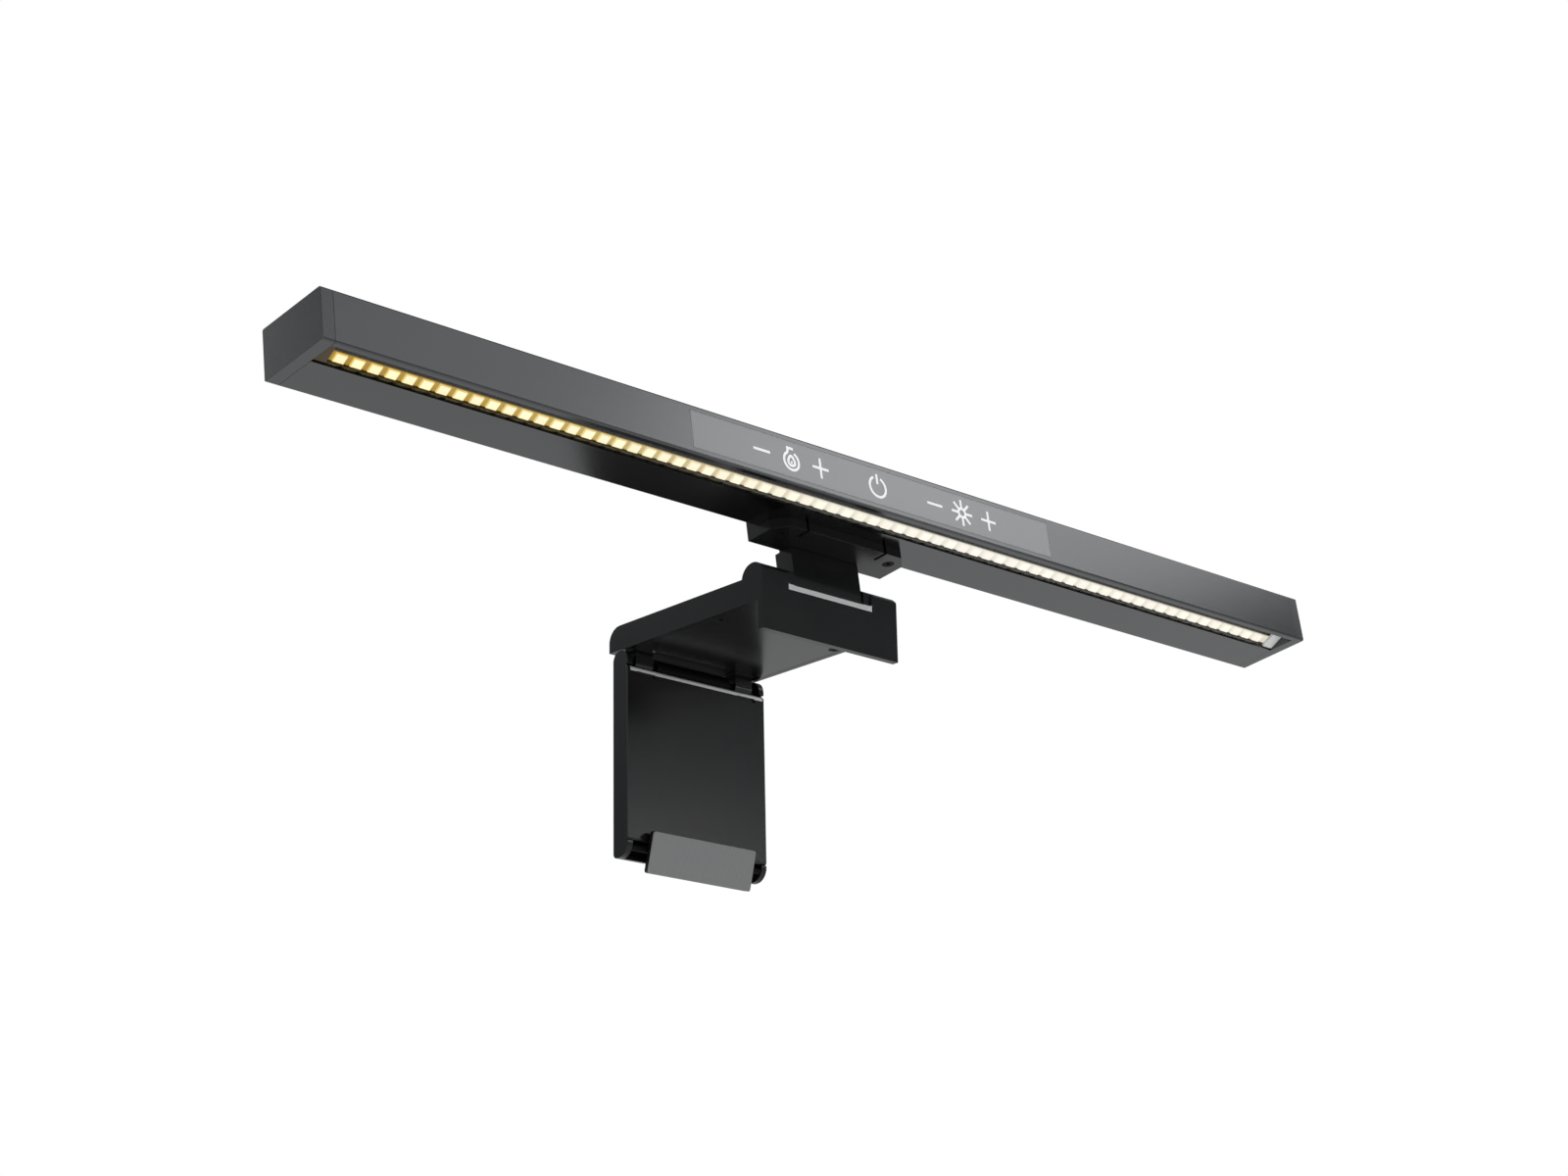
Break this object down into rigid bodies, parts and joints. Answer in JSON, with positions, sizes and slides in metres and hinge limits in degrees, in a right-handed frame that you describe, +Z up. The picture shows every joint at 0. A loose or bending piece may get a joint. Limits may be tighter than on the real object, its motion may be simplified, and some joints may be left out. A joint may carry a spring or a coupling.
{
  "type": "monitor light bar",
  "caption": "Slim light bar with a touch panel and an LED slot underneath, tilting on a clip with a front lip and a hinged rear leg with a swivel foot.",
  "frame": {"origin": "middle of the clamp's flat underside, which rests on the monitor's top edge", "axes": "+X to the user's right along the bar, +Y away from the user, +Z up"},
  "size_m": [0.4, 0.0949, 0.1127],
  "materials": {
    "anodised_bar": "satin anodised, fine brushed grain along the bar",
    "cap_plastic": "satin moulded plastic",
    "black_plastic": "fine-textured black moulded plastic",
    "panel_plastic": "satin tinted touch window",
    "clear_lens": "clear light lens",
    "white_plastic": "white",
    "steel": "turned steel",
    "black_steel": "black-plated screws",
    "board_green": "solder mask",
    "board_white": "white solder mask on aluminium",
    "led_phosphor": "phosphor",
    "chip_epoxy": "epoxy package",
    "silicone": "matt silicone",
    "foot_rubber": "matt grey rubber"
  },
  "bodies": {
    "clamp": {"clamp_top": "black_plastic", "clamp_floor": "black_plastic", "clamp_screws": "black_steel", "lip_pad": "silicone", "tilt_shaft": "steel", "tilt_washers": "steel", "leg_pin": "steel"},
    "leg": {"leg_shell": "black_plastic", "leg_plate": "black_plastic", "leg_weight": "steel", "leg_sleeve": "steel", "foot_pin": "steel"},
    "foot": {"foot_plate": "black_plastic", "foot_pad": "foot_rubber"},
    "lamp": {"neck": "black_plastic", "neck_screws": "black_steel", "bar_bracket": "black_plastic", "bracket_screws": "black_steel", "bar_housing": "anodised_bar", "end_cap_left": "cap_plastic", "end_cap_right": "cap_plastic", "touch_panel": "panel_plastic", "touch_board": "board_green", "led_board": "board_white", "leds_warm": "led_phosphor", "leds_cool": "led_phosphor", "light_lens": "clear_lens", "lens_blocks": "white_plastic", "reflector": "white_plastic", "driver_board": "board_green", "driver_chips": "chip_epoxy", "power_coil": "chip_epoxy", "usb_socket": "steel"}
  },
  "joints": [
    {"name": "lamp_tilt", "type": "hinge", "parent": "clamp", "child": "lamp", "pos_m": [0, -0.026, 0.00725], "axis": [1, 0, 0], "range_deg": [-17, 33]},
    {"name": "leg_swing", "type": "hinge", "parent": "clamp", "child": "leg", "pos_m": [0, 0.0348, -0.00375], "axis": [1, 0, 0], "range_deg": [-50, 45]},
    {"name": "foot_swing", "type": "hinge", "parent": "leg", "child": "foot", "pos_m": [0, 0.0328, -0.06275], "axis": [1, 0, 0], "range_deg": [-15, 30]}
  ]
}
